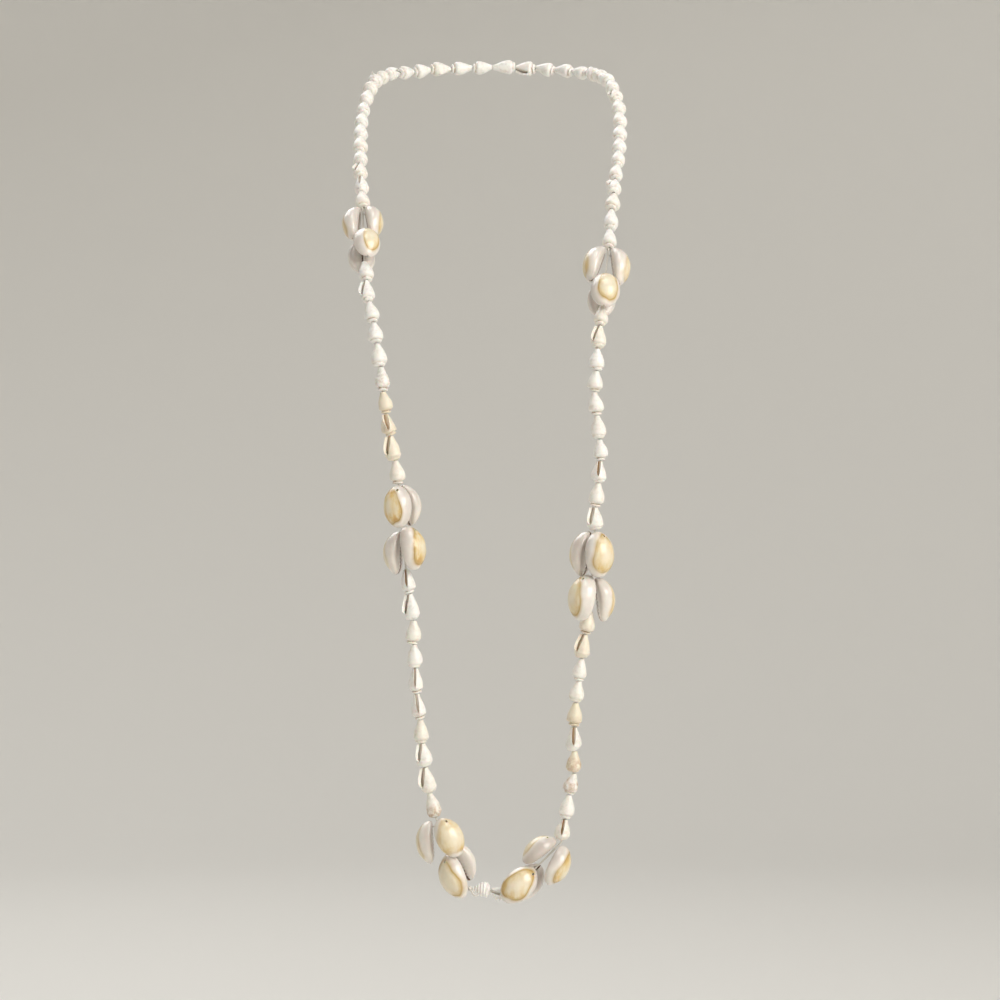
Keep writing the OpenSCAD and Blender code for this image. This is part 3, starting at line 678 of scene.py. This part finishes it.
def smallShell(length, width, look, seed):
    # base at the origin, tip up z, mouth to -y; returns points, faces and marks
    draw = random.Random(seed)
    wide = look["mouth"] == "l"  # mouths on the left stand wide open
    bulge = draw.uniform(-small["bulge"], small["bulge"])
    shoulder, shoulderTurn = draw.uniform(*small["shoulder"]), draw.uniform(0, 2 * pi)
    footShift = (Vector((draw.uniform(-1, 1), draw.uniform(-1, 1)))
                 * small["footShift"] * width)
    lipFlare = small["lipFlare"] * (small["wideFlare"] if wide
                                    else draw.uniform(*small["flareSwing"]))
    slitTurn = small["slitTurn"] * (small["wideSlit"] if wide
                                    else draw.uniform(*small["slitSwing"]))
    foot = look.get("foot", draw.choice(small["feet"]))
    ribs = look.get("ribs", 0)
    wander = Vector((seed * 0.37, seed * 0.11, seed * 0.53))
    points, marks = [], {mark: [] for mark in limeMarks}
    rows = small["rowsUp"]
    perRing = small["outer"] + len(small["hollow"])
    for row in range(rows + 1):
        share = row / rows
        place = 0.65 * share + 0.35 * share * share  # closer rows at the foot
        opened = blendStep(*small["openFrom"], place)
        # the slit widens evenly from a quarter up to the tip
        halfGap = radians(slitTurn) * opened * (0.15 + 1.25 * max(0, (place - 0.25) / 0.75))
        whorled = 1 - blendStep(*small["whorlEnd"], place)

        def radius(turn):
            climb, backTurn = turn - 0.5, small["backTurn"]
            if turn > backTurn:
                climb = ((backTurn - 0.5) * (1 - turn) / (1 - backTurn)
                         - 0.5 * (turn - backTurn) / (1 - backTurn))
            spot = place - small["spiral"] * climb * whorled
            rounded, footed = easedRow(small["rows"], spot, 1), easedRow(small["rows"], spot, 2)
            plain = (rounded + (footed - rounded) * foot) * (1 + bulge * sin(pi * place))
            if look["mouth"] == "a":
                plain += small["neckFlare"] * blendStep(0.8, 1.0, place)
            plain += ribs * cos(2 * pi * spot / small["ribPitch"])
            return plain * width * (1 - small["grow"] * opened * turn), spot

        ring = []
        lip = lipFlare * width * opened * blendStep(*small["lipFrom"], place)
        columella = small["columella"] * width * opened
        for k in range(small["outer"]):
            turn = k / (small["outer"] - 1)
            r, spot = radius(turn)
            r += lip * exp(-(turn / small["lipWide"]) ** 2)
            r += columella * exp(-((1 - turn) / small["columellaWide"]) ** 2)
            angle = -pi / 2 - halfGap - turn * (2 * pi - 2 * halfGap)
            ring.append((angle, r, 0.0, spot))
        edge = radius(0)[0]
        wider = max(0, degrees(halfGap) - 12)
        for away, reach in small["hollow"]:
            away += wider if away > 0 else -wider
            if wide:
                reach += small["wideHollow"] * max(0, 0.8 - reach)
            angle = -pi / 2 - radians(away) * opened
            r = max(edge * (1 + (reach - 1) * opened), small["boreRadius"] * 1.2)
            # the mouth's brown, full deep in the hollow and fading towards its rim: painted shade over the
            # mouth's own brown
            ring.append((angle, r, opened * (1 - blendStep(*small["mouthShade"], reach)), place))
        shift = footShift * (1 - blendStep(*small["footEnd"], place))
        near = 1 - blendStep(0.0, small["stainReach"], abs(place - look["stainAt"]))
        for angle, r, mouth, spot in ring:
            uneven = Vector((cos(angle), sin(angle), place * 3)) + wander
            r *= (1 + small["dents"] * noise.noise(uneven)
                  + shoulder * cos(angle - shoulderTurn) * sin(pi * place) ** 2)
            points.append((r * cos(angle) + shift.x, r * sin(angle) + shift.y,
                           length * place))
            seam = exp(-((spot - small["seamPlace"]) / small["seamWide"]) ** 2)
            marks["whorlPlace"].append(spot * length)
            marks["mouth"].append(mouth * look["brown"])
            marks["cream"].append(look["cream"])
            # the stain mark also carries the darker brown along the foot's groove
            marks["stain"].append(min(1, look["stain"] * near + small["seamBrown"] * foot * seam))
    faces = closedSides(rows + 1, perRing)
    # both ends run in to the bore, which the thread fills
    for end, sign in ((0, 1), (rows, -1)):
        start = end * perRing
        inner = len(points)
        for depth in (0, 1):
            for k in range(perRing):
                x, y, z = points[start + k]
                far = hypot(x, y) or 1
                points.append((x / far * small["boreRadius"], y / far * small["boreRadius"],
                               z + sign * depth * small["boreDepth"] * length))
                for mark in marks:
                    marks[mark].append(marks[mark][start + k])
                # painted shade inside the bore, laid on with the mouth's brown
                marks["mouth"][-1] = small["boreShade"] * depth
        for a, b in ((start, inner), (inner, inner + perRing)):
            for k in range(perRing):
                quad = (a + k, b + k, b + (k + 1) % perRing, a + (k + 1) % perRing)
                faces.append(quad if sign > 0 else quad[::-1])
        cap = tuple(inner + perRing + k for k in range(perRing))
        faces.append(cap[::-1] if sign > 0 else cap)
    return points, faces, marks


# Shells that differ from plain white, by stretch and place in it: cream is how warm, stain how brown and where
# along the shell it lies, brown how strong the brown and painted shade inside its mouth are, foot how plain its
# base ring shows, ribs how high its rings stand.
plainLook = dict(cream=0.0, stain=0.0, stainAt=0.5, brown=0.45)
oddLooks = {
    (1, 9): dict(foot=1.0), (1, 7): dict(foot=1.0), (1, 6): dict(foot=0.6), (1, 5): dict(foot=0.4),
    (1, 4): dict(foot=1.0, ribs=0.012, stain=0.35, stainAt=0.4), (1, 3): dict(foot=1.0, cream=0.9),
    (1, 2): dict(mouth="l", cream=0.85, brown=0.9, stain=0.25, stainAt=0.3),
    (1, 1): dict(cream=0.75, foot=0.2), (1, 0): dict(foot=1.0, cream=0.35),
    (2, 9): dict(foot=1.0, brown=0.9), (2, 8): dict(foot=0.0, brown=0.7),
    (2, 7): dict(foot=1.0, cream=0.3), (2, 6): dict(foot=0.3), (2, 5): dict(foot=1.0),
    (2, 4): dict(foot=1.0, stain=0.2, stainAt=0.1), (2, 3): dict(foot=0.5, cream=0.4),
    (2, 2): dict(foot=0.1, cream=0.15), (2, 1): dict(foot=0.1, cream=0.25, brown=0.5),
    (2, 0): dict(foot=0.2, stain=0.85, stainAt=0.15),
    (3, 1): dict(foot=0.0, ribs=0.028), (3, 0): dict(foot=1.0, brown=0.3),
    (4, 9): dict(foot=1.0, cream=0.6, stain=0.3, stainAt=0.1),
    (4, 8): dict(foot=0.0, cream=0.75, brown=0.5), (4, 7): dict(foot=0.8), (4, 6): dict(foot=0.3),
    (4, 5): dict(foot=1.0, cream=0.95, stain=0.35, stainAt=0.12), (4, 4): dict(brown=1.0, foot=0.2),
    (4, 3): dict(cream=0.9, stain=0.75, stainAt=0.35, foot=0.1),
    (4, 2): dict(stain=0.9, stainAt=0.45, foot=0.6), (4, 1): dict(foot=0.5, cream=0.15),
    (4, 0): dict(foot=0.2, brown=1.0),
    (5, 9): dict(foot=1.0, cream=0.3), (5, 8): dict(cream=0.4), (5, 7): dict(foot=0.7, ribs=0.008),
    (5, 6): dict(foot=0.9), (5, 5): dict(foot=1.0), (5, 4): dict(foot=0.3), (5, 3): dict(foot=1.0),
    (5, 2): dict(brown=1.0, foot=0.4), (5, 1): dict(foot=1.0, cream=0.2),
    (5, 0): dict(foot=0.3, cream=0.15)}

tipShare, baseShare = 0.17, 0.36  # of the width, where neighbours lean in

shellSeed = 100
for number, stretch in enumerate(stretches):
    path = stretch["points"]
    whole = [stretch["beyond"][0]] + path + [stretch["beyond"][1]]
    points, faces, marks = [], [], {mark: [] for mark in limeMarks}
    for i in range(len(path) - 1):
        shellSeed += 1
        width = fit["smallWidth"] * (weight(3 * i + number) + 1) / 2
        link = path[i + 1] - path[i]
        lowTurn = (whole[i + 1] - whole[i]).angle(link, 0.0)
        highTurn = link.angle(whole[i + 3] - whole[i + 2], 0.0)
        lowRoom = fit["beadGap"] / 2 + width * baseShare * tan(lowTurn / 2)
        highRoom = fit["beadGap"] / 2 + width * tipShare * tan(highTurn / 2)
        mouth = stretch["mouths"][i % len(stretch["mouths"])]
        draw = random.Random(shellSeed)
        look = dict(plainLook, mouth=mouth, cream=draw.choice(small["creams"]) * draw.random())
        look.update(oddLooks.get((number, i), {}))
        shellPoints, shellFaces, shellMarks = smallShell(
            link.length - lowRoom - highRoom, width, look, shellSeed)
        half = Matrix.Translation((0, 0, link.length / 2))
        tilt = Matrix.Rotation(radians(small["tilt"]) * draw.uniform(-1, 1), 4,
                               Vector((draw.uniform(-1, 1), draw.uniform(-1, 1), 0.01)))
        turned = small["mouthTurn"][mouth] + draw.uniform(-small["turnSwing"], small["turnSwing"])
        seat = (linkFrame(path[i], path[i + 1]) @ half @ tilt @ half.inverted()
                @ Matrix.Translation((0, 0, lowRoom))
                @ Matrix.Rotation(radians(turned), 4, "Z"))
        addPart(points, faces, ([seat @ Vector(p) for p in shellPoints], shellFaces))
        for mark in marks:
            marks[mark] += shellMarks[mark]
    mesh = makeMesh(stretch["name"], points, faces, marks)
    turnOutward(mesh, weld=0.002 * mm)
    mesh.set_sharp_from_angle(angle=radians(small["sharpTurn"]))
    piece = newObject(stretch["name"], mesh)
    placePiece(piece, limeMaterial, "small_shell", stretch["node"])
print("small shells made")


# thread, knot and ties

def evenPath(points, step):
    total = sum((b - a).length for a, b in zip(points, points[1:]))
    count = max(2, round(total / step))
    return pointsAlong(points, [total * k / count for k in range(count + 1)]), total


def sideFrames(path, closed):
    # a side direction at each point that turns as little as it can
    count = len(path)
    forward = []
    for i in range(count):
        a = path[i - 1] if i or closed else path[i]
        b = path[(i + 1) % count] if i < count - 1 or closed else path[i]
        forward.append((b - a).normalized())
    side = forward[0].orthogonal().normalized()
    sides = []
    for w in forward:
        side = (side - side.dot(w) * w).normalized()
        sides.append(side)
    return forward, sides


def twistedYarn(path, step, radius, plies=1, offset=0, pitch=1, closed=False, sides=5,
                taper=0, splay=0):
    # plies wound round a path of even steps; taper thins their end and splay lets them part there
    points, faces = [], []
    forward, side = sideFrames(path, closed)
    count = len(path)
    for ply in range(plies):
        start = len(points)
        for i, p in enumerate(path):
            left = (count - 1 - i) * step  # mm to the end
            apart = offset * (1 + splay * max(0, 1 - left / 2.0))
            angle = 2 * pi * (i * step / pitch + ply / plies)
            up = forward[i].cross(side[i])
            centre = p + (side[i] * cos(angle) + up * sin(angle)) * apart
            r = radius * (min(1, 0.25 + left / taper) if taper else 1)
            for k in range(sides):
                turn = 2 * pi * k / sides
                points.append(centre + (side[i] * cos(turn) + up * sin(turn)) * r)
        faces += closedSides(count, sides, start)
        last = start + (count - 1) * sides
        if closed:
            faces += [(last + k, last + (k + 1) % sides, start + (k + 1) % sides, start + k)
                      for k in range(sides)]
        else:
            faces.append(tuple(start + k for k in range(sides))[::-1])
            faces.append(tuple(last + k for k in range(sides)))
    return points, faces


def yarnPiece(name, points, faces, node):
    mesh = makeMesh(name, points, faces, {})
    turnOutward(mesh)
    placePiece(newObject(name, mesh), yarnMaterial, "cotton_thread", node)


cotton = dict(step=0.42, pitch=2.4, yarn=dict(plies=3, radius=0.27, offset=0.23))

s = [stretch["points"] for stretch in stretches]
loop = s[0][::-1] + s[1][::-1] + s[2][::-1] + [knotLow] + s[3][::-1] + s[4] + s[5] + s[6]
loop, loopLength = evenPath(loop, cotton["step"])
loop = loop[:-1]  # the loop closes on its first point
turns = round(loopLength / cotton["pitch"])
for again in range(2):  # ease the corners between shells
    loop = [(loop[i - 1] + 2 * loop[i] + loop[(i + 1) % len(loop)]) / 4 for i in range(len(loop))]
points, faces = twistedYarn(loop, loopLength / len(loop), pitch=loopLength / turns, closed=True,
                            **cotton["yarn"])
yarnPiece("thread_loop", points, faces, "thread")

# the knot: an overhand knot pulled tight round the thread, and its cut tail
knotLook = dict(size=0.286, rise=1.5, steps=72, yarn=dict(radius=0.42, sides=8))
tailLook = dict(first=3.6, second=2.4, start=(0.9, 2.6), round=0.7, turn=(38, 145), bend=60,
                step=0.3, yarn=dict(plies=3, radius=0.26, offset=0.2, pitch=2.2, taper=0.8,
                                    splay=0.5))
middle = (knotLow + knotPoint) / 2
knotTurn = linkFrame(knotLow, knotPoint).to_3x3()
overhand = []
for k in range(knotLook["steps"]):
    t = 2 * pi * k / knotLook["steps"]
    local = Vector((sin(t) + 2 * sin(2 * t), cos(t) - 2 * cos(2 * t),
                    -sin(3 * t) * knotLook["rise"]))
    overhand.append(middle + knotTurn @ (local * knotLook["size"]))
points, faces = twistedYarn(overhand, 1, closed=True, **knotLook["yarn"])
turnTail = (Matrix.Rotation(radians(tailLook["turn"][1]), 3, "Y")
            @ Matrix.Rotation(radians(tailLook["turn"][0]), 3, "X"))
bendTail = Matrix.Rotation(radians(-tailLook["bend"]), 3, "Y")
firstWay, secondWay = turnTail @ Vector((0, 0, 1)), turnTail @ bendTail @ Vector((0, 0, 1))
corner = middle + firstWay * (tailLook["first"] + fit["knotWidth"] / 2)
tail = smoothPoints([middle + firstWay * tailLook["start"][0],
                     middle + firstWay * tailLook["start"][1],
                     corner - firstWay * tailLook["round"], corner + secondWay * tailLook["round"],
                     corner + secondWay * tailLook["second"]])
tail, tailLength = evenPath(tail, tailLook["step"])
addPart(points, faces, twistedYarn(tail, tailLength / (len(tail) - 1), **tailLook["yarn"]))
yarnPiece("knot_and_tail", points, faces, "knot")

# ties: a two-ply thread from beside the main thread into each shell's hole, with a tight coil
# in the hole
tieLook = dict(step=0.25, recess=2.6, yarn=dict(plies=2, radius=0.2, offset=0.17, pitch=1.5),
               coilTurns=3, coilSteps=12, coilRise=0.25, coilWide=0.3, coilYarn=0.27)
points, faces = [], []
for cluster in clusters:
    for shell in cluster["shells"]:
        seat = shellFrame(cluster, shell)
        size = shell["size"]
        share = fit["tieInset"] / (size * fit["cowrieLength"])
        reach = size * fit["cowrieHeight"] * easedRow(cowrie["rows"], share, 3) - tieLook["recess"]
        start = seat @ Vector((tieSide, shell["off"], -fit["tieInset"]))
        end = seat @ Vector((tieSide, -reach, -fit["tieInset"]))
        path, length = evenPath([start, end], tieLook["step"])
        addPart(points, faces, twistedYarn(path, length / (len(path) - 1), **tieLook["yarn"]))
        axis = (end - start).normalized()
        across = axis.orthogonal().normalized()
        coil = []
        for k in range(tieLook["coilTurns"] * tieLook["coilSteps"] + 1):
            wound = k / tieLook["coilSteps"]
            turn = 2 * pi * wound
            around = across * cos(turn) + axis.cross(across) * sin(turn)
            coil.append(end + axis * (tieLook["coilRise"] * (wound - tieLook["coilTurns"] / 2))
                        + around * tieLook["coilWide"])
        addPart(points, faces, twistedYarn(coil, 1, tieLook["coilYarn"]))
yarnPiece("cowrie_ties", points, faces, "ties")
print("thread, knot and ties made")


# floor, backdrop and light

# Studio plaster: painted with a roller, which leaves it matt with a soft stipple, drawn coarser
# here than a real one so that it shows. Sizes are in metres, but the stipple's in mm.
stageLook = dict(floor=-0.66, radius=3.0, fillet=1.1, filletSteps=12, wall=2.6, segments=128,
                 colour="#E4E2DD", stippleMm=3.846, stippleStrength=0.15, stippleDepthMm=0.4,
                 roughness=0.85)

stageMaterial, tree = emptyMaterial("paintedStudioPlaster")
place = addNode(tree, "TexCoord").outputs["Object"]
stipple = addNode(tree, "TexNoise", {
    "Vector": place, "Scale": 1 / (stageLook["stippleMm"] * mm), "Detail": 3.0})
bump = addNode(tree, "Bump", {
    "Height": stipple.outputs["Fac"], "Strength": stageLook["stippleStrength"],
    "Distance": stageLook["stippleDepthMm"] * mm})
shader = addNode(tree, "BsdfPrincipled", {
    "Base Color": fromHex(stageLook["colour"]), "Normal": bump.outputs["Normal"],
    "Roughness": stageLook["roughness"]})
addNode(tree, "OutputMaterial", {"Surface": shader.outputs["BSDF"]})

# the floor's outline runs out from the middle, round the fillet and up the wall
profile = [(1.0, 0.0)]
for k in range(stageLook["filletSteps"] + 1):
    turn = pi / 2 * k / stageLook["filletSteps"]
    profile.append((stageLook["radius"] - stageLook["fillet"] * (1 - sin(turn)),
                    stageLook["fillet"] * (1 - cos(turn))))
profile.append((stageLook["radius"], stageLook["wall"]))
points = [(0, 0, stageLook["floor"])]
segments = stageLook["segments"]
for r, z in profile:
    points += [(r * cos(2 * pi * k / segments), r * sin(2 * pi * k / segments),
                stageLook["floor"] + z) for k in range(segments)]
faces = [(0, 1 + (k + 1) % segments, 1 + k) for k in range(segments)]
faces += closedSides(len(profile), segments, 1)
stage = newObject("studio_floor", makeMesh("studio_floor", points, faces, {}, scale=1))
stage.data.materials.append(stageMaterial)

aim = Vector((0, -0.15, -0.23))
lights = dict(
    key=dict(place=(1.55, -1.75, 1.00), size=1.5, power=46, colour="#FFFCF7"),
    fill=dict(place=(-2.0, -1.6, 0.35), size=1.8, power=1.5, colour="#F4F5FF"),
    top=dict(place=(0.2, -0.5, 2.0), size=1.0, power=12, colour="#FFFFFF"),
    back=dict(place=(-0.8, 1.2, 1.6), size=1.6, power=28, colour="#FFFFFF"))
for name, look in lights.items():
    lampData = bpy.data.lights.new(name, "AREA")
    lampData.size = look["size"]
    lampData.energy = look["power"]
    lampData.color = fromHex(look["colour"])[:3]
    lamp = newObject(name, lampData)
    lamp.location = look["place"]
    lamp.rotation_euler = (aim - Vector(look["place"])).to_track_quat("-Z", "Y").to_euler()

room = dict(colour="#F4F2EF", strength=0.12)
world = bpy.data.worlds.new("softRoom")
world.use_nodes = True
air = world.node_tree.nodes["Background"]
air.inputs["Color"].default_value = fromHex(room["colour"])
air.inputs["Strength"].default_value = room["strength"]
scene.world = world
print("stage and light set")
